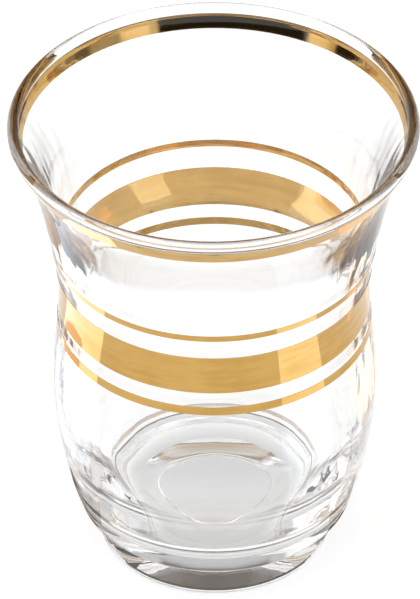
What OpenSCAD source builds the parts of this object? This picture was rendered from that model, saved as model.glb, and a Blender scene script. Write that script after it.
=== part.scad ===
// Moroccan tea glass: one pressed vessel of clear glass with four rings of fired gold.
// The vessel is a single revolved outline. It stands on the table at z = 0, with its
// axis on z, and every height is measured up from the table or down from the lip.

/* [Vessel] */
// Height from the table to the top of the lip
glass_h = 86; // [80:0.5:94]
// Outer diameter over the lip
rim_d = 68; // [60:0.5:76]
// Thickness of the rolled lip
lip_t = 2; // [1.6:0.1:2.8]
// Radius that the flare gains in each millimetre of height, just under the lip
flare_slope = 0.59; // [0.4:0.01:0.8]
// Radius that the bowl gains in each millimetre of height, just under the lip
bowl_flare_slope = 0.35; // [0.2:0.01:0.6]
// Outer diameter at the neck, where the waist opens into the flare
neck_d = 55.8; // [53:0.2:59]
// Depth of the neck below the lip
neck_at = 20; // [14:0.5:23.5]
// Radius that the wall gains in each millimetre of height at the neck
neck_slope = 0.19; // [0.1:0.01:0.3]
// Outer diameter at the waist, the narrowest place of the upper half
waist_d = 52.2; // [48:0.2:54]
// Depth of the waist below the lip
waist_at = 34; // [29:0.5:42]
// Outer diameter at the belly, the widest place of the lower half
belly_d = 54.6; // [54:0.2:60]
// Height of the belly
belly_z = 33; // [26:0.5:40]
// Outer diameter at the heel, where the wall starts to turn under
heel_d = 46.6; // [44:0.2:50]
// Height of the heel
heel_z = 8.6; // [7.6:0.1:12]
// Radius that the wall gains in each millimetre of height, just above the heel
heel_slope = 0.35; // [0.1:0.01:0.5]
// Radius of the heel's edge
heel_round = 1.5; // [0.6:0.1:2.4]

/* [Bowl] */
// Wall thickness at the waist and the neck
waist_wall = 2.1; // [1.6:0.1:3.5]
// Wall thickness at the belly
belly_wall = 2.5; // [1.8:0.1:4]
// Height of the bowl's floor above the table
floor_z = 9; // [6:0.25:12]
// Radius of the corner between the bowl's floor and its wall
well_round = 7; // [3:0.5:9]
// Diameter of the bowl where that corner ends
well_d = 41; // [38:0.5:43]
// Radius that the bowl gains in each millimetre of height at that corner's end
well_slope = 0.34; // [0.1:0.01:0.5]

/* [Foot] */
// Diameter of the foot
foot_d = 40; // [36:0.5:43]
// Radius of the foot's bottom edge
foot_round = 1.5; // [0.5:0.1:2.5]
// Radius of the groove between foot and heel
foot_fillet = 1; // [0.4:0.1:1.4]
// Diameter of the hollow underneath, at the table
hollow_d = 32; // [22:0.5:32.5]
// Diameter of the flat ceiling of that hollow
ceiling_d = 21.6; // [16:0.2:21.8]
// Depth of that hollow
hollow_h = 1.3; // [0.5:0.1:2.5]

/* [Gold] */
// Thickness of the fired gold, drawn thick enough to be a solid
gold_t = 0.1; // [0.05:0.01:0.3]
// Bare glass between the lip's round and the top of the rim's gold
rim_gold_gap = 0.15; // [0.1:0.05:1.5]
// Height of the rim's gold
rim_gold_h = 2.85; // [1:0.05:6]
// Depth from the lip to the top of the upper thin line
upper_line_at = 23.9; // [12:0.1:27]
// Height of the upper thin line
upper_line_h = 1.2; // [0.6:0.1:2.4]
// Depth from the lip to the top of the broad band
broad_band_at = 29.1; // [28.6:0.1:31.8]
// Height of the broad band
broad_band_h = 7.5; // [4:0.1:7.6]
// Depth from the lip to the top of the lower thin line
lower_line_at = 39.5; // [39.5:0.1:60]
// Height of the lower thin line
lower_line_h = 1.5; // [0.6:0.1:2.4]

/* [Hidden] */
$fn = 180;

glass_colour = [0.87, 0.91, 0.92];
gold_colour = [0.80, 0.61, 0.30];

// Longest stretch of wall drawn as one straight piece, and steps in a rounding
wall_step = 2;
round_steps = 10;

// Heights of the neck and the waist above the table
neck_z = glass_h - neck_at;
waist_z = glass_h - waist_at;

// Lip: a round whose two ends run on into the outer wall and the bowl's wall
lip_r = lip_t / 2;
flare_angle = atan(flare_slope);
bowl_flare_angle = atan(bowl_flare_slope);
lip_centre = [rim_d / 2 - lip_r, glass_h - lip_r];
lip_out = lip_centre + lip_r * [cos(flare_angle), -sin(flare_angle)];
lip_in = lip_centre - lip_r * [cos(bowl_flare_angle), -sin(bowl_flare_angle)];

// Heel: an edge that turns from the wall to the flat underside
heel_angle = atan(heel_slope);
heel_centre = [heel_d / 2 - heel_round * cos(heel_angle), heel_z + heel_round * sin(heel_angle)];
underside_z = heel_centre.y - heel_round;

// Well: the corner at the bottom of the bowl
well_angle = atan(well_slope);
well_centre = [well_d / 2 - well_round * cos(well_angle), floor_z + well_round];
well_z = well_centre.y - well_round * sin(well_angle);

// Stations of the outer and inner wall, from the bottom up: height, radius and slope
outer_wall = [
    [heel_z, heel_d / 2, heel_slope],
    [belly_z, belly_d / 2, 0],
    [waist_z, waist_d / 2, 0],
    [neck_z, neck_d / 2, neck_slope],
    [lip_out.y, lip_out.x, flare_slope]
];
inner_wall = [
    [well_z, well_d / 2, well_slope],
    [belly_z, belly_d / 2 - belly_wall, 0],
    [waist_z, waist_d / 2 - waist_wall, 0],
    [neck_z, neck_d / 2 - waist_wall, neck_slope],
    [lip_in.y, lip_in.x, bowl_flare_slope]
];

// Top edges of the gold rings, as heights above the table
rim_gold_z = lip_out.y - rim_gold_gap;
upper_line_z = glass_h - upper_line_at;
broad_band_z = glass_h - broad_band_at;
lower_line_z = glass_h - lower_line_at;

// A wall bends smoothly from one station to the next: a cubic that has the radius and
// the slope of both. t runs from 0 at the lower station to 1 at the upper one.
function cubic(t, a, b, run) =
    a[1] * (1 + 2 * t) * pow(1 - t, 2) + a[2] * run * t * pow(1 - t, 2)
    + b[1] * (3 - 2 * t) * pow(t, 2) - b[2] * run * (1 - t) * pow(t, 2);
function cubic_slope(t, a, b, run) =
    (b[1] - a[1]) * 6 * t * (1 - t) / run
    + a[2] * (1 - t) * (1 - 3 * t) + b[2] * t * (3 * t - 2);

// The stretch of a wall that a height falls in
function stretch(wall, z, k = 0) =
    k < len(wall) - 2 && z >= wall[k + 1][0] ? stretch(wall, z, k + 1) : k;

// A point of a wall at a height, moved outwards by a distance along the wall's normal
function wall_point(wall, z, off = 0) =
    let (
        k = stretch(wall, z),
        a = wall[k],
        b = wall[k + 1],
        run = b[0] - a[0],
        t = (z - a[0]) / run,
        slope = cubic_slope(t, a, b, run)
    )
    [cubic(t, a, b, run), z] + off * [1, -slope] / norm([1, slope]);

// Heights from low to high in even steps, without the last one
function levels(low, high) =
    let (count = max(1, ceil((high - low) / wall_step)))
    [for (i = [0 : count - 1]) low + (high - low) * i / count];

// Points of an arc from one angle to another, without the last one unless closed
function arc(centre, r, from, to, closed = false) =
    [for (i = [0 : round_steps - (closed ? 0 : 1)])
        let (a = from + (to - from) * i / round_steps)
        centre + r * [cos(a), sin(a)]];

function wall_line(wall, heights, off = 0) = [for (z = heights) wall_point(wall, z, off)];
function backwards(list) = [for (i = [len(list) - 1 : -1 : 0]) list[i]];

// Heights at which the outer wall has a corner of its outline, so that the gold lies on it
function outer_heights() =
    let (edges = [
        heel_z,
        lower_line_z - lower_line_h,
        lower_line_z,
        broad_band_z - broad_band_h,
        broad_band_z,
        upper_line_z - upper_line_h,
        upper_line_z,
        rim_gold_z - rim_gold_h,
        rim_gold_z,
        lip_out.y
    ])
    [for (k = [0 : len(edges) - 2]) each levels(edges[k], edges[k + 1])];

// Half section of the vessel, from the middle of the hollow round to the middle of the floor
function vessel_outline() = concat(
    [[0, hollow_h], [ceiling_d / 2, hollow_h], [hollow_d / 2, 0]],
    arc([foot_d / 2 - foot_round, foot_round], foot_round, -90, 0, true),
    backwards(arc([foot_d / 2 + foot_fillet, underside_z - foot_fillet], foot_fillet, 90, 180, true)),
    arc(heel_centre, heel_round, -90, -heel_angle),
    wall_line(outer_wall, outer_heights()),
    arc(lip_centre, lip_r, -flare_angle, 180 - bowl_flare_angle),
    wall_line(inner_wall, backwards(concat(levels(well_z, lip_in.y), [lip_in.y]))),
    backwards(arc(well_centre, well_round, -90, -well_angle)),
    [[0, floor_z]]
);

// A ring of gold on the outer wall, from its top edge down by its height. Its inner
// side lies on the glass, and its outer side is the same line lifted off the wall.
module gold_ring(top, height) {
    heights = concat(levels(top - height, top), [top]);
    on_glass = wall_line(outer_wall, heights);
    lifted = wall_line(outer_wall, heights, gold_t);
    color(gold_colour)
        rotate_extrude()
            polygon(concat(lifted, backwards(on_glass)));
}

module glass_body() {
    color(glass_colour)
        rotate_extrude()
            polygon(vessel_outline());
}

module rim_gilding() {
    gold_ring(rim_gold_z, rim_gold_h);
}

module upper_gold_line() {
    gold_ring(upper_line_z, upper_line_h);
}

module broad_gold_band() {
    gold_ring(broad_band_z, broad_band_h);
}

module lower_gold_line() {
    gold_ring(lower_line_z, lower_line_h);
}

glass_body();
rim_gilding();
upper_gold_line();
broad_gold_band();
lower_gold_line();
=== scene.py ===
# %% [markdown]
# A clear tea glass with rings of fired gold, built step by step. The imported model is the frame: it
# says where every piece is and how large it is. Its walls are drawn with few facets. On a matt
# object that would pass, but glass bends light at every facet, so each piece is turned again here
# on a finer outline, and then it gets its finish.

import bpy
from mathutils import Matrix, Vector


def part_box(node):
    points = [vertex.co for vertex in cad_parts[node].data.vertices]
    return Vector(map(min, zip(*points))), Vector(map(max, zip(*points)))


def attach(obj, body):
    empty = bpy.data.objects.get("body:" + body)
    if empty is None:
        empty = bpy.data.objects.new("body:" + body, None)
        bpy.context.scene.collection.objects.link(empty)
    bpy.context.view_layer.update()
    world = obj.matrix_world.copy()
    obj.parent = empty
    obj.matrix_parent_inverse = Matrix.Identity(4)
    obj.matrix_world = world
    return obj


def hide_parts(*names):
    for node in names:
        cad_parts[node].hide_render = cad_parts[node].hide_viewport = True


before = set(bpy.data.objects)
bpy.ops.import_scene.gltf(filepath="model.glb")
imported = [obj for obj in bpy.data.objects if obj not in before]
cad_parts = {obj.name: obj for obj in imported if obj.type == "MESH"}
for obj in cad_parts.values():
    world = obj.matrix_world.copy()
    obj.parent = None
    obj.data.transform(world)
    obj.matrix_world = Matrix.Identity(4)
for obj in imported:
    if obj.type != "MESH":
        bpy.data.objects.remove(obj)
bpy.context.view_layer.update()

# %% [markdown]
# Sizes are in millimetres, as a glass maker would give them, and a point is turned into metres
# where it is placed. The height, the width over the lip and the gold's places are read from the
# frame. They could be typed in as well, but then a new size of the part would leave the scene
# behind.

# %% Sizes from the frame
import math

import bpy
from mathutils import Matrix, Vector

MM = 0.001


def in_mm(node):
    """Lowest and highest corner of a solid, in millimetres."""
    low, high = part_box(node)
    return low / MM, high / MM


glass_top = in_mm("glass_body")[1]
GLASS_H = glass_top.z
LIP_RADIUS = glass_top.x
print(f"lip radius {LIP_RADIUS:.2f} mm, height {GLASS_H:.2f} mm")

# %% [markdown]
# The lip is softened in a flame after pressing, so surface tension pulls it into a round bead that
# stands in a little over the bowl. Two circles could make it, but one arc does: it starts where
# the flare meets the bead outside, goes over the top and ends under the bead on the inside.

# %% The lip's bead
LIP_THICK = 2.0
LIP_UNDER = 54.5
FLARE_SLOPE = 0.59
LIP_R = LIP_THICK / 2
FLARE_ANGLE = math.atan(FLARE_SLOPE)
UNDER_ANGLE = math.radians(LIP_UNDER)
LIP_CENTRE = Vector((LIP_RADIUS - LIP_R, GLASS_H - LIP_R))
LIP_OUT = LIP_CENTRE + LIP_R * Vector((math.cos(FLARE_ANGLE), -math.sin(FLARE_ANGLE)))
LIP_IN = LIP_CENTRE - LIP_R * Vector((math.cos(UNDER_ANGLE), math.sin(UNDER_ANGLE)))
print(f"bead of {LIP_THICK} mm from height {LIP_OUT.y:.2f} outside to {LIP_IN.y:.2f} inside")

# %% [markdown]
# Below the lip the outside is one flowing line: flare, neck, waist, belly and heel. It could be
# traced as a long list of points. Five stations are enough, each with a height, a radius and a
# slope, because those are the sizes that a mould maker would change, and the line between them
# stays smooth by itself.

# %% Stations of the outer wall
NECK_RADIUS, NECK_DEPTH, NECK_SLOPE = 27.9, 20.0, 0.19
WAIST_RADIUS, WAIST_DEPTH = 26.1, 34.0
BELLY_RADIUS, BELLY_Z = 27.3, 33.0
HEEL_RADIUS, HEEL_Z, HEEL_SLOPE, HEEL_ROUND = 23.3, 8.6, 0.35, 1.5
NECK_Z = GLASS_H - NECK_DEPTH
WAIST_Z = GLASS_H - WAIST_DEPTH
HEEL_ANGLE = math.atan(HEEL_SLOPE)
HEEL_CENTRE = Vector((
    HEEL_RADIUS - HEEL_ROUND * math.cos(HEEL_ANGLE),
    HEEL_Z + HEEL_ROUND * math.sin(HEEL_ANGLE),
))

OUTER_WALL = [
    (HEEL_Z, HEEL_RADIUS, HEEL_SLOPE),
    (BELLY_Z, BELLY_RADIUS, 0),
    (WAIST_Z, WAIST_RADIUS, 0),
    (NECK_Z, NECK_RADIUS, NECK_SLOPE),
    (LIP_OUT.y, LIP_OUT.x, FLARE_SLOPE),
]
print("outer stations at heights", [round(station[0], 2) for station in OUTER_WALL])

# %% [markdown]
# The plunger that presses the glass shapes the inside. It leaves a thick floor with a wide round
# corner, a wall that is a little thicker at the belly than at the waist, and a throat just below
# the bead. An even offset of the outside would be quicker, but it would lose that weight.

# %% Stations of the inner wall
WALL, BELLY_WALL = 2.1, 2.5
FLOOR_Z = 9.0
WELL_ROUND, WELL_RADIUS, WELL_SLOPE = 7.0, 20.5, 0.34
THROAT_Z, THROAT_RADIUS, THROAT_SLOPE = 83.5, 32.0, 0.5
WELL_ANGLE = math.atan(WELL_SLOPE)
WELL_CENTRE = Vector((WELL_RADIUS - WELL_ROUND * math.cos(WELL_ANGLE), FLOOR_Z + WELL_ROUND))
WELL_Z = WELL_CENTRE.y - WELL_ROUND * math.sin(WELL_ANGLE)

INNER_WALL = [
    (WELL_Z, WELL_RADIUS, WELL_SLOPE),
    (BELLY_Z, BELLY_RADIUS - BELLY_WALL, 0),
    (WAIST_Z, WAIST_RADIUS - WALL, 0),
    (NECK_Z, NECK_RADIUS - WALL, NECK_SLOPE),
    (THROAT_Z, THROAT_RADIUS, THROAT_SLOPE),
    (LIP_IN.y, LIP_IN.x, -math.tan(UNDER_ANGLE)),
]
print("inner stations at heights", [round(station[0], 2) for station in INNER_WALL])

# %% [markdown]
# Between two stations the wall is a cubic that meets both radii and both slopes. That is the same
# rule as in the solids, so the fine outline lies on them. The same function also gives points
# beside the wall, along its normal, which is where the gold lies.

# %% Points on a wall and on an arc


def wall_point(wall, z, off=0.0):
    """A point (radius, height) of a wall, moved outwards by off along its normal."""
    low, high = next(pair for pair in zip(wall, wall[1:]) if z <= pair[1][0] or pair[1] is wall[-1])
    run = high[0] - low[0]
    t = (z - low[0]) / run
    radius = (
        low[1] * (1 + 2 * t) * (1 - t) ** 2 + low[2] * run * t * (1 - t) ** 2
        + high[1] * (3 - 2 * t) * t ** 2 - high[2] * run * (1 - t) * t ** 2
    )
    slope = (
        (high[1] - low[1]) * 6 * t * (1 - t) / run
        + low[2] * (1 - t) * (1 - 3 * t) + high[2] * t * (3 * t - 2)
    )
    return Vector((radius, z)) + off * Vector((1, -slope)).normalized()


def wall_line(wall, low, high, step, off=0.0):
    """Points up a wall in even steps, both ends with it."""
    count = max(1, math.ceil((high - low) / step))
    return [wall_point(wall, low + (high - low) * k / count, off) for k in range(count + 1)]


def arc(centre, radius, start, end, steps):
    """Points of an arc between two angles in degrees, both ends with it."""
    angles = [math.radians(start + (end - start) * k / steps) for k in range(steps + 1)]
    return [centre + radius * Vector((math.cos(a), math.sin(a))) for a in angles]


for name, height in (("waist", WAIST_Z), ("belly", BELLY_Z)):
    outside, inside = wall_point(OUTER_WALL, height), wall_point(INNER_WALL, height)
    print(f"wall at the {name}: {outside.x - inside.x:.2f} mm")

# %% [markdown]
# A turned piece starts as one corner. The extrude tool draws its outline from point to point, as
# one would click it in by hand, and the spin tool takes that line once round the axis. A screw
# modifier would do the same, but spin leaves plain faces at once. Then the seam's doubles are
# merged, and only after that the faces are turned outwards.

# %% Turn an outline on the axis
TURNS = 192
SEED = 0.001
MERGE = 1e-7
SHARP_ANGLE = 10


def turned(name, outline, closed=False):
    """A piece turned from an outline of (radius, height) points in millimetres."""
    points = [Vector((p[0], 0, p[1])) * MM for p in outline]
    bpy.ops.object.select_all(action="DESELECT")
    bpy.ops.mesh.primitive_plane_add(size=SEED, location=points[0])
    piece = bpy.context.active_object
    piece.name = piece.data.name = name
    bpy.ops.object.transform_apply(location=True, rotation=True, scale=True)
    bpy.ops.object.mode_set(mode="EDIT")
    bpy.ops.mesh.merge(type="CENTER")
    for here, there in zip(points, points[1:]):
        bpy.ops.mesh.extrude_vertices_move(TRANSFORM_OT_translate={"value": there - here})
    bpy.ops.mesh.select_all(action="SELECT")
    if closed:
        bpy.ops.mesh.edge_face_add()
        bpy.ops.mesh.delete(type="ONLY_FACE")
        bpy.ops.mesh.select_all(action="SELECT")
    bpy.ops.mesh.spin(steps=TURNS, angle=math.tau, center=(0, 0, 0), axis=(0, 0, 1))
    bpy.ops.mesh.select_all(action="SELECT")
    bpy.ops.mesh.remove_doubles(threshold=MERGE)
    bpy.ops.mesh.normals_make_consistent(inside=False)
    bpy.ops.object.mode_set(mode="OBJECT")
    bpy.ops.object.shade_smooth_by_angle(angle=math.radians(SHARP_ANGLE))
    print(name, len(outline), "points,", len(piece.data.polygons), "faces")
    return piece


# %% [markdown]
# The vessel is one line from the middle of the hollow underneath, round the foot, up the wall,
# over the lip and down to the middle of the bowl's floor. Foot, wall and bowl could be three
# bodies joined later, but then inner faces would stay in the glass and bend the light. The
# hollow's ceiling is sunk by a hair in its middle, and its edge shows as a fine circle through
# the floor.

# %% Vessel
FOOT_RADIUS, FOOT_ROUND, FOOT_FILLET = 20.0, 1.5, 1.0
HOLLOW_RADIUS, CEILING_RADIUS, HOLLOW_H, LEDGE = 16.0, 10.8, 1.3, 0.35
WALL_STEP, THROAT_STEP = 0.8, 0.08
ROUND_STEPS, LIP_STEPS = 14, 42
FOOT_CENTRE = Vector((FOOT_RADIUS - FOOT_ROUND, FOOT_ROUND))
GROOVE_CENTRE = Vector((FOOT_RADIUS + FOOT_FILLET, HEEL_CENTRE.y - HEEL_ROUND - FOOT_FILLET))
HOLLOW_TOP = HOLLOW_H + LEDGE


def vessel_outline():
    flare, heel, well = (math.degrees(angle) for angle in (FLARE_ANGLE, HEEL_ANGLE, WELL_ANGLE))
    return (
        [Vector((0, HOLLOW_TOP)), Vector((CEILING_RADIUS / 2, HOLLOW_TOP))]
        + [Vector((CEILING_RADIUS - LEDGE / 2, HOLLOW_TOP)), Vector((CEILING_RADIUS, HOLLOW_H))]
        + [Vector((HOLLOW_RADIUS, 0))]
        + arc(FOOT_CENTRE, FOOT_ROUND, -90, 0, ROUND_STEPS)
        + arc(GROOVE_CENTRE, FOOT_FILLET, 180, 90, ROUND_STEPS)
        + arc(HEEL_CENTRE, HEEL_ROUND, -90, -heel, ROUND_STEPS)[:-1]
        + wall_line(OUTER_WALL, HEEL_Z, LIP_OUT.y, WALL_STEP)
        + arc(LIP_CENTRE, LIP_R, -flare, 180 + LIP_UNDER, LIP_STEPS)[1:-1]
        + wall_line(INNER_WALL, THROAT_Z, LIP_IN.y, THROAT_STEP)[::-1]
        + wall_line(INNER_WALL, WELL_Z, THROAT_Z, WALL_STEP)[-2::-1]
        + arc(WELL_CENTRE, WELL_ROUND, -well, -90, ROUND_STEPS)[1:]
        + [Vector((WELL_CENTRE.x / 2, FLOOR_Z)), Vector((0, FLOOR_Z))]
    )


vessel = turned("clear_vessel", vessel_outline())

# %% [markdown]
# The gold is painted on as a liquid while the glass turns on a wheel, and then fired, so each line
# is a true ring that follows the wall. A flat band with a texture would miss the light that the
# film's edge catches, so each ring is a thin piece of its own. Its inner face is sunk into the
# glass by a hair, and no air shows between gold and glass.

# %% Gold rings
GOLD_OFF, GOLD_SUNK = 0.05, 0.02
GOLD_STEP = 0.4


def gold_ring(name, node, top=None):
    """A ring on the outer wall where the frame has a solid, up to top where that is given."""
    low, high = in_mm(node)
    top = top or high.z
    print(name, f"from {low.z:.2f} to {top:.2f} mm")
    outer = wall_line(OUTER_WALL, low.z, top, GOLD_STEP, GOLD_OFF)
    inner = wall_line(OUTER_WALL, low.z, top, GOLD_STEP, -GOLD_SUNK)
    return turned(name, outer + inner[::-1], closed=True)


upper_line = gold_ring("gold_line_upper", "upper_gold_line")
broad_band = gold_ring("gold_band_broad", "broad_gold_band")
lower_line = gold_ring("gold_line_lower", "lower_gold_line")

# %% [markdown]
# The rim's gold is a ring just under the bead, on the outside. The bead stays bare, as it does on
# glasses whose lip meets the mouth. It shows as a white line over the gold in front and as a broad
# clear zone behind, so the gold ends a little lower here than in the solids.

# %% Rim gold
RIM_GOLD_TOP = 84.15
rim_ring = gold_ring("rim_gold", "rim_gilding", RIM_GOLD_TOP)

# %% [markdown]
# Finishes, table and surroundings are all graphs of nodes. Placed by hand, each node is a click
# and each value goes on one of its sockets. The class below does the same in one line a node, so
# that a finish reads as a recipe: it sets numbers and links outputs by the sockets' own names.

# %% Short ways to add nodes
WAVE_DETAIL = 2.0


class Graph:
    """A node tree with short ways to add the nodes that this scene needs."""

    def __init__(self, tree):
        self.nodes = tree.nodes
        self.links = tree.links

    def put(self, value, socket):
        """Link an output to a socket, or set a number or a colour on it."""
        if isinstance(value, bpy.types.NodeSocket):
            self.links.new(value, socket)
        else:
            socket.default_value = value

    def add(self, kind, **values):
        """A node with values put on its sockets. A name's underscores stand for spaces."""
        node = self.nodes.new("ShaderNode" + kind)
        for name, value in values.items():
            self.put(value, node.inputs[name.replace("_", " ")])
        return node

    def maths(self, operation, *values):
        """The result of a maths node."""
        node = self.nodes.new("ShaderNodeMath")
        node.operation = operation
        for value, socket in zip(values, node.inputs):
            self.put(value, socket)
        return node.outputs["Value"]

    def product(self, first, *others):
        """All values multiplied."""
        for other in others:
            first = self.maths("MULTIPLY", first, other)
        return first

    def ramp(self, value, start, end, low=0.0, high=1.0):
        """A soft step of a value, from low at start to high at end."""
        node = self.add(
            "MapRange", Value=value, From_Min=start, From_Max=end, To_Min=low, To_Max=high
        )
        node.interpolation_type = "SMOOTHSTEP"
        return node.outputs["Result"]

    def where(self, kind="Object"):
        """Coordinates, as a rule the piece's own."""
        return self.add("TexCoord").outputs[kind]

    def split(self, vector):
        """The three parts of a vector."""
        return self.add("SeparateXYZ", Vector=vector).outputs

    def stretched(self, vector, scale):
        """A vector multiplied by a number for each axis."""
        node = self.nodes.new("ShaderNodeVectorMath")
        node.operation = "MULTIPLY"
        self.put(vector, node.inputs[0])
        self.put(scale, node.inputs[1])
        return node.outputs["Vector"]

    def noise(self, vector, size, detail=WAVE_DETAIL):
        """Noise with waves of a given size in metres."""
        return self.add("TexNoise", Vector=vector, Scale=1 / size, Detail=detail).outputs["Fac"]

    def bump(self, height, depth):
        """A normal for waves of a given depth in metres."""
        return self.add("Bump", Height=height, Distance=depth).outputs["Normal"]

    def blend(self, share, start, end):
        """A colour that goes from start to end as share goes from 0 to 1."""
        node = self.nodes.new("ShaderNodeMix")
        node.data_type = "RGBA"
        for name, value in (("Factor", share), ("A", start), ("B", end)):
            self.put(value, node.inputs[name])
        return node.outputs["Result"]

    def choose(self, share, start, end):
        """A shader that goes from start to end as share goes from 0 to 1."""
        node = self.add("MixShader", Fac=share)
        self.put(start, node.inputs[1])
        self.put(end, node.inputs[2])
        return node.outputs["Shader"]

    def group(self, group):
        """The outputs of a node group."""
        node = self.nodes.new("ShaderNodeGroup")
        node.node_tree = group
        return node.outputs


def new_group(name, *outputs):
    """A node group with outputs given as (name, kind), its graph and its output node."""
    group = bpy.data.node_groups.new(name, "ShaderNodeTree")
    for output, kind in outputs:
        group.interface.new_socket(output, in_out="OUTPUT", socket_type=kind)
    return group, Graph(group), group.nodes.new("NodeGroupOutput")


def new_material(name):
    """An empty material and its graph."""
    material = bpy.data.materials.new(name)
    material.use_nodes = True
    material.node_tree.nodes.clear()
    return material, Graph(material.node_tree)


# %% [markdown]
# Pressed glass is never quite even. Upright ripples gather along the mould's two seams, at the
# left and the right, and the middle of the wall stays calm. In the well, where the plunger chilled
# the glass first, there are finer and rounder waves. Real waves in the mesh would need far more
# faces, and the bend of the light is all that shows, so both are noise for a bump. Under the heel
# the mould's parting line leaves a matt edge, which is the group's roughness.

# %% Ripples of the pressed wall
RIPPLE_SIZE, RIPPLE_STRETCH = 8 * MM, 0.25
SEAM_SPAN = (13 * MM, 23 * MM)
RISE_SPAN = (8 * MM, 24 * MM)
LOW_SHARE, CALM_SHARE = 0.7, 0.05
CHILL_SIZE, CHILL_SHARE = 4 * MM, 0.03
WELL_EDGE = (22.8 * MM, 22.2 * MM)
WELL_BOTTOM, WELL_TOP = (8.5 * MM, 8.8 * MM), (20 * MM, 16 * MM)
UNDER_EDGE = (19.9 * MM, 20.2 * MM)
UNDER_BOTTOM, UNDER_TOP = (6.0 * MM, 6.6 * MM), (9.0 * MM, 8.4 * MM)
HEEL_ROUGHNESS = 0.3


def pressed_ripple():
    group, graph, out = new_group(
        "pressed_ripple", ("Height", "NodeSocketFloat"), ("Roughness", "NodeSocketFloat")
    )
    where = graph.where()
    x, y, height = graph.split(where)
    aside = graph.maths("SQRT", graph.maths("MULTIPLY_ADD", y, y, graph.product(x, x)))

    wave = graph.noise(graph.stretched(where, (1, 1, RIPPLE_STRETCH)), RIPPLE_SIZE)
    seam = graph.ramp(graph.maths("ABSOLUTE", x), *SEAM_SPAN)
    rise = graph.ramp(height, *RISE_SPAN, LOW_SHARE)
    share = graph.maths("MULTIPLY_ADD", seam, rise, CALM_SHARE)

    in_well = graph.product(
        graph.ramp(aside, *WELL_EDGE), graph.ramp(height, *WELL_BOTTOM), graph.ramp(height, *WELL_TOP)
    )
    chill = graph.product(graph.noise(where, CHILL_SIZE), in_well, CHILL_SHARE)
    graph.put(graph.maths("MULTIPLY_ADD", wave, share, chill), out.inputs["Height"])

    under = graph.product(
        graph.ramp(height, *UNDER_TOP), graph.ramp(aside, *UNDER_EDGE), graph.ramp(height, *UNDER_BOTTOM)
    )
    graph.put(graph.product(under, HEEL_ROUGHNESS), out.inputs["Roughness"])
    return group


RIPPLE = pressed_ripple()
print("ripple group", len(RIPPLE.nodes), "nodes")

# %% [markdown]
# The glass is soda-lime glass: an index of 1.52 and a breath of grey green. A glass shader with
# plain transmission bends the light as the real wall does. Its shadow is the one place where that
# costs too much, because bent light finds a lamp only by chance, so a shadow ray passes straight
# through and the table stays white.

# %% Clear glass
GLASS_TINT = (0.985, 0.99, 0.988, 1)
GLASS_INDEX = 1.52
RIPPLE_DEPTH = 0.38 * MM


def clear_glass():
    material, graph = new_material("clear_glass")
    ripple = graph.group(RIPPLE)
    glass = graph.add(
        "BsdfPrincipled",
        Base_Color=GLASS_TINT,
        IOR=GLASS_INDEX,
        Transmission_Weight=1.0,
        Roughness=ripple["Roughness"],
        Normal=graph.bump(ripple["Height"], RIPPLE_DEPTH),
    )
    through = graph.add("BsdfTransparent").outputs["BSDF"]
    shadow = graph.add("LightPath").outputs["Is Shadow Ray"]
    graph.add("OutputMaterial", Surface=graph.choose(shadow, glass.outputs["BSDF"], through))
    return material


GLASS = clear_glass()
print("glass", len(GLASS.node_tree.nodes), "nodes")

# %% [markdown]
# Fired gold is a mirror film about as thin as a soap bubble. It is brightest where the brush laid
# it thick and goes browner and softer where it is thin, in small clouds and in fine strokes that
# run round the glass. One plain colour would look like paint, so the clouds drive colour and
# roughness together, and the strokes add a bump of a few thousandths of a millimetre.

# %% Look of the fired film
CLOUD_SIZE, CLOUD_DETAIL = 6 * MM, 3.0
BRUSH_SIZE, BRUSH_STRETCH, BRUSH_SHARE = 1.2 * MM, 0.12, 0.5
GOLD_PALE = (0.60, 0.37, 0.115, 1)
GOLD_DEEP = (0.53, 0.31, 0.085, 1)
GOLD_ROUGH, GOLD_ROUGHER = 0.02, 0.08
PALE_SPAN, POLISH_SPAN = (0.35, 0.6), (0.35, 0.65)


def fired_film():
    group, graph, out = new_group(
        "fired_film",
        ("Color", "NodeSocketColor"),
        ("Roughness", "NodeSocketFloat"),
        ("Height", "NodeSocketFloat"),
    )
    where = graph.where()
    cloud = graph.noise(where, CLOUD_SIZE, CLOUD_DETAIL)
    brush = graph.noise(graph.stretched(where, (BRUSH_STRETCH, BRUSH_STRETCH, 1)), BRUSH_SIZE)
    rest = graph.product(cloud, 1 - BRUSH_SHARE)
    both = graph.maths("MULTIPLY_ADD", brush, BRUSH_SHARE, rest)
    colour = graph.blend(graph.ramp(both, *PALE_SPAN), GOLD_DEEP, GOLD_PALE)
    graph.put(colour, out.inputs["Color"])
    graph.put(graph.ramp(both, *POLISH_SPAN, GOLD_ROUGHER, GOLD_ROUGH), out.inputs["Roughness"])
    graph.put(brush, out.inputs["Height"])
    return group


FILM = fired_film()
print("film group", len(FILM.nodes), "nodes")

# %% [markdown]
# The film is a metal, so its colour is the colour of its reflection. It lies on the wall's ripples
# too, but the edges of what it mirrors stay straight in the photograph, so it keeps to its own
# bump and leaves the ripple group to the glass.

# %% Fired gold
BRUSH_DEPTH = 0.006 * MM


def fired_gold():
    material, graph = new_material("fired_gold")
    film = graph.group(FILM)
    gold = graph.add(
        "BsdfPrincipled",
        Metallic=1.0,
        Base_Color=film["Color"],
        Roughness=film["Roughness"],
        Normal=graph.bump(film["Height"], BRUSH_DEPTH),
    )
    graph.add("OutputMaterial", Surface=gold.outputs["BSDF"])
    return material


GOLD = fired_gold()
print("gold", len(GOLD.node_tree.nodes), "nodes")

# %% [markdown]
# Each new piece takes the place of one solid of the frame. It rides on the one body, takes its own
# finish, and the solid that it replaces is hidden, so nothing is drawn twice.

# %% Put the pieces on the frame


def give(piece, material, node):
    piece.data.materials.clear()
    piece.data.materials.append(material)
    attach(piece, "root")
    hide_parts(node)


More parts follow.
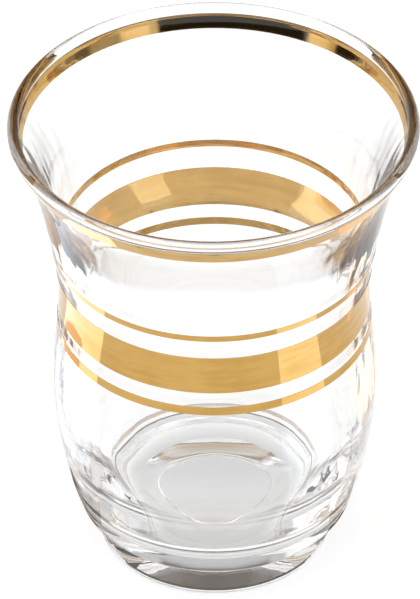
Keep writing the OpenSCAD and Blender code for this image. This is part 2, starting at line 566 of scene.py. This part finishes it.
give(vessel, GLASS, "glass_body")
give(rim_ring, GOLD, "rim_gilding")
give(upper_line, GOLD, "upper_gold_line")
give(broad_band, GOLD, "broad_gold_band")
give(lower_line, GOLD, "lower_gold_line")
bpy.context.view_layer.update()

# %% [markdown]
# The glass stands on a sheet of white paper. Light alone would leave the paper grey, or else the
# glass too bright, so the paper also shines a little by itself, for the camera and for what gold
# and glass show of it. Right under the foot it shines less, because the glass keeps light off it.

# %% Table
TABLE_SIZE, TABLE_DROP = 6.0, 0.00005
TABLE_GREY = (0.55, 0.55, 0.55, 1)
TABLE_ROUGHNESS = 0.6
UNDER_FOOT_SPAN = (16 * MM, 20 * MM)
UNDER_FOOT_FILL, TABLE_FILL = 0.42, 0.62
WHITE = (1, 1, 1, 1)
bpy.ops.object.select_all(action="DESELECT")
bpy.ops.mesh.primitive_plane_add(size=TABLE_SIZE, location=(0, 0, -TABLE_DROP))
floor = bpy.context.active_object
floor.name = "floor"


def white_paper():
    material, graph = new_material("white_table")
    away = graph.nodes.new("ShaderNodeVectorMath")
    away.operation = "LENGTH"
    graph.put(graph.where(), away.inputs[0])
    fill = graph.ramp(away.outputs["Value"], *UNDER_FOOT_SPAN, UNDER_FOOT_FILL, TABLE_FILL)
    path = graph.add("LightPath").outputs
    seen = graph.maths("MAXIMUM", path["Is Camera Ray"], path["Is Glossy Ray"])
    seen = graph.maths("MAXIMUM", seen, path["Is Transmission Ray"])
    paper = graph.add(
        "BsdfPrincipled",
        Base_Color=TABLE_GREY,
        Roughness=TABLE_ROUGHNESS,
        Emission_Color=WHITE,
        Emission_Strength=graph.product(seen, fill),
    )
    graph.add("OutputMaterial", Surface=paper.outputs["BSDF"])
    return material


floor.data.materials.append(white_paper())
print("table of", TABLE_SIZE, "m")

# %% [markdown]
# Both broad bands mirror the paper near the glass, and two pale patches show on each: two lamps must
# light the paper there. The flares at the sides see other parts of it, painted here with warm light,
# and the heel sees painted shade close by. Lamps could be aimed at the paper, but they would light
# the whole scene. Small glowing cards that only gold and glass see paint the light and shade where
# it belongs: pale pools of light, warm light, and dark cards for shade.

# %% Cards over the table
CARD_Z, UPPER_CARD_Z = 0.5, 0.7
PALE_BLUE = (1, 1.05, 1.15)
TAN = (1, 0.8, 0.64)
WARM = (1, 0.7, 0.5)
DUSK = (1, 0.8, 0.6)
CARDS = [
    # name, azimuths in degrees, distances from the axis, strength, colour, height
    # painted pools of light on the paper, which the broad bands mirror
    ("table_glow_right", (42, 73), (45, 110), 1.7, PALE_BLUE, CARD_Z),
    ("table_glow_left", (-80, -126), (45, 110), 2.0, PALE_BLUE, CARD_Z),
    # painted warm light: glowing tan cards that the flares see
    ("painted_warm_light_left", (-98, -142), (84, 128), 1.4, TAN, UPPER_CARD_Z),
    ("painted_warm_light_right", (104, 140), (52, 75), 1.5, TAN, UPPER_CARD_Z),
    # painted shade near the heel: dark cards where the glass shades the paper
    ("painted_shade_left", (-72, -108), (26, 34), 0.1, DUSK, CARD_Z),
    ("painted_shade_right", (72, 100), (26, 34), 0.25, WARM, CARD_Z),
]


def table_card(name, azimuths, distances, strength, colour, height):
    """A card between two azimuths and two distances. Azimuth 0 is the camera's side, 90 right."""
    bpy.ops.object.select_all(action="DESELECT")
    bpy.ops.mesh.primitive_plane_add(size=1)
    card = bpy.context.active_object
    card.name = name
    corners = [(math.radians(azimuth), away) for azimuth in azimuths for away in distances]
    for vertex, (turn, away) in zip(card.data.vertices, corners):
        vertex.co = Vector((away * math.sin(turn), -away * math.cos(turn), height)) * MM
    material, graph = new_material(name)
    light = graph.add("Emission", Color=(*colour, 1), Strength=strength)
    graph.add("OutputMaterial", Surface=light.outputs["Emission"])
    card.data.materials.append(material)
    card.visible_camera = False
    card.visible_diffuse = False
    card.visible_shadow = False


for card in CARDS:
    table_card(*card)
print(len(CARDS), "cards over the table")

# %% [markdown]
# Round the foot the heel hangs over the paper and keeps the light off it. Glass shadows let the
# light through here, so this contact shadow has to be laid down: a ring of small dark cards under
# the heel. It is what makes the thick foot look dark and heavy.

# %% Contact ring
CONTACT_STEP = 15
CONTACT_RING = (20.4, 24.5)
CONTACT_LEVEL = 0.12
for azimuth in range(-180, 180, CONTACT_STEP):
    sector = (azimuth, azimuth + CONTACT_STEP)
    table_card(f"contact_{azimuth}", sector, CONTACT_RING, CONTACT_LEVEL, DUSK, CARD_Z)
print("contact ring between", CONTACT_RING, "mm")

# %% [markdown]
# Clear glass and gold look like what stands round them. The glass was photographed in a tent of
# white paper with an opening for the camera, softboxes at the sides and a gap behind, and the
# black and bright stretches of the rim's gold show where they stand. Real cards could be built
# for all of them. The world's colour does it with less: each place is a soft-edged field between
# two azimuths and two elevations, laid over the ones before it. White paper is 1.

# %% Places in the tent
TENT = 1.0
EDGE = 1.5
ALL_ROUND = 180
PLACES = [
    # name, azimuth of its middle, half its width, lowest and highest elevation, level, tint
    ("paper in front", 0, 62, 20, 65, 1.2),
    ("ceiling", 0, ALL_ROUND, 65, 95, 1.0),
    ("ceiling behind", 180, 55, 65, 95, 0.5),
    ("paper on the right", 100, 30, -5, 50, 0.6),
    ("top of the right", 115, 30, 33, 65, 0.75),
    ("warm right", 103, 16, 8, 30, 0.6, (1, 0.75, 0.5)),
    ("low paper behind", 165, 42, -5, 21, 0.55),
    ("paper behind", 165, 42, 21, 30, 0.48),
    ("gap behind", 180, 20, -5, 25, 0.05, (1, 0.6, 0.35)),
    ("dark behind", 170, 22, 30, 41, 0.02),
    ("upper paper behind", 180, 45, 41, 50, 0.6),
    ("dark patch behind", 162, 9, 41, 50, 0.05),
    ("softbox behind", 180, 45, 50, 65, 0.85),
    ("opening round the camera", -11.5, 41.5, -5, 20, 0.02),
    ("softbox right of the camera", 43, 8, 8, 42, 1.5),
    ("strip on the right", 62, 10, -5, 20, 0.6),
    ("dark right", 77, 6, -5, 20, 0.2),
    ("dim right", 90, 8, -5, 20, 0.4),
    ("softbox left of the camera", -60, 6, -5, 42, 1.5),
    ("dark left", -78, 8, -5, 18, 0.02),
    ("dim left", -90, 4, -5, 20, 0.4),
    ("softbox on the left", -118, 22, -5, 42, 1.3),
]
print(len(PLACES), "places in the tent")

# %% [markdown]
# The direction that a ray takes gives its azimuth and its elevation, and two soft steps for each
# say how far it is inside a place. The camera itself sees plain white behind the glass.

# %% World


def inside_place(graph, azimuth, elevation, middle, half, low, high):
    """1 in a place of the tent, 0 outside it, and a soft edge between."""
    bottom = graph.ramp(elevation, low - EDGE, low + EDGE)
    top = graph.ramp(elevation, high + EDGE, high - EDGE)
    inside = graph.product(bottom, top)
    if half == ALL_ROUND:
        return inside
    turn = graph.maths("WRAP", graph.maths("SUBTRACT", azimuth, middle), 180, -180)
    aside = graph.maths("ABSOLUTE", turn)
    return graph.product(inside, graph.ramp(aside, half + EDGE, half - EDGE))


def studio_world():
    world = bpy.data.worlds.new("studio")
    bpy.context.scene.world = world
    world.use_nodes = True
    world.node_tree.nodes.clear()
    graph = Graph(world.node_tree)
    x, y, z = graph.split(graph.where("Generated"))
    azimuth = graph.maths("DEGREES", graph.maths("ARCTAN2", x, graph.product(y, -1)))
    elevation = graph.maths("DEGREES", graph.maths("ARCSINE", z))
    light = (TENT, TENT, TENT, 1)
    for name, middle, half, low, high, level, *tint in PLACES:
        colour = tint[0] if tint else (1, 1, 1)
        inside = inside_place(graph, azimuth, elevation, middle, half, low, high)
        light = graph.blend(inside, light, (*(level * part for part in colour), 1))
        light.node.label = name
    tent = graph.add("Background", Color=light).outputs["Background"]
    white = graph.add("Background", Color=WHITE).outputs["Background"]
    camera_ray = graph.add("LightPath").outputs["Is Camera Ray"]
    graph.add("OutputWorld", Surface=graph.choose(camera_ray, tent, white))
    return world


studio = studio_world()
print("world", len(studio.node_tree.nodes), "nodes")

# %% [markdown]
# A ray that enters the base can be thrown back inside the glass many times before it leaves. With
# the usual limit it would end there and leave black specks, so the limit is higher here. The
# Standard view keeps white paper white.

# %% Bounces and view
GLASS_BOUNCES, GLOSSY_BOUNCES = 48, 24
scene = bpy.context.scene
scene.cycles.max_bounces = GLASS_BOUNCES
scene.cycles.transmission_bounces = GLASS_BOUNCES
scene.cycles.glossy_bounces = GLOSSY_BOUNCES
scene.view_settings.view_transform = "Standard"
print("bounces in the glass", GLASS_BOUNCES)

# %% [markdown]
# The camera's place comes from the photograph: the ellipses of the lip and of the gold bands give
# its height over the table and its distance, and the sides of the outline give the rest. The focal
# length is in pixels of the photograph, so the sensor's width is only a scale.

# %% Camera
PHOTO_H = 599
SENSOR = 36
FOCAL_PIXELS = 6752
CAMERA_AWAY, CAMERA_UP = 0.89143, 0.74870
PITCH, TURN, ROLL = 38.149, 0.046, -0.320
LEVEL = 90
camera_data = bpy.data.cameras.new("camera")
camera_data.sensor_width = SENSOR
camera_data.lens = FOCAL_PIXELS * SENSOR / PHOTO_H
camera = bpy.data.objects.new("camera", camera_data)
bpy.context.collection.objects.link(camera)
camera.matrix_world = (
    Matrix.Translation((0, -CAMERA_AWAY, CAMERA_UP))
    @ Matrix.Rotation(math.radians(TURN), 4, "Z")
    @ Matrix.Rotation(math.radians(LEVEL - PITCH), 4, "X")
    @ Matrix.Rotation(math.radians(ROLL), 4, "Z")
)
scene.camera = camera
print(f"lens {camera_data.lens:.1f} mm, {math.hypot(CAMERA_AWAY, CAMERA_UP):.3f} m from the foot")
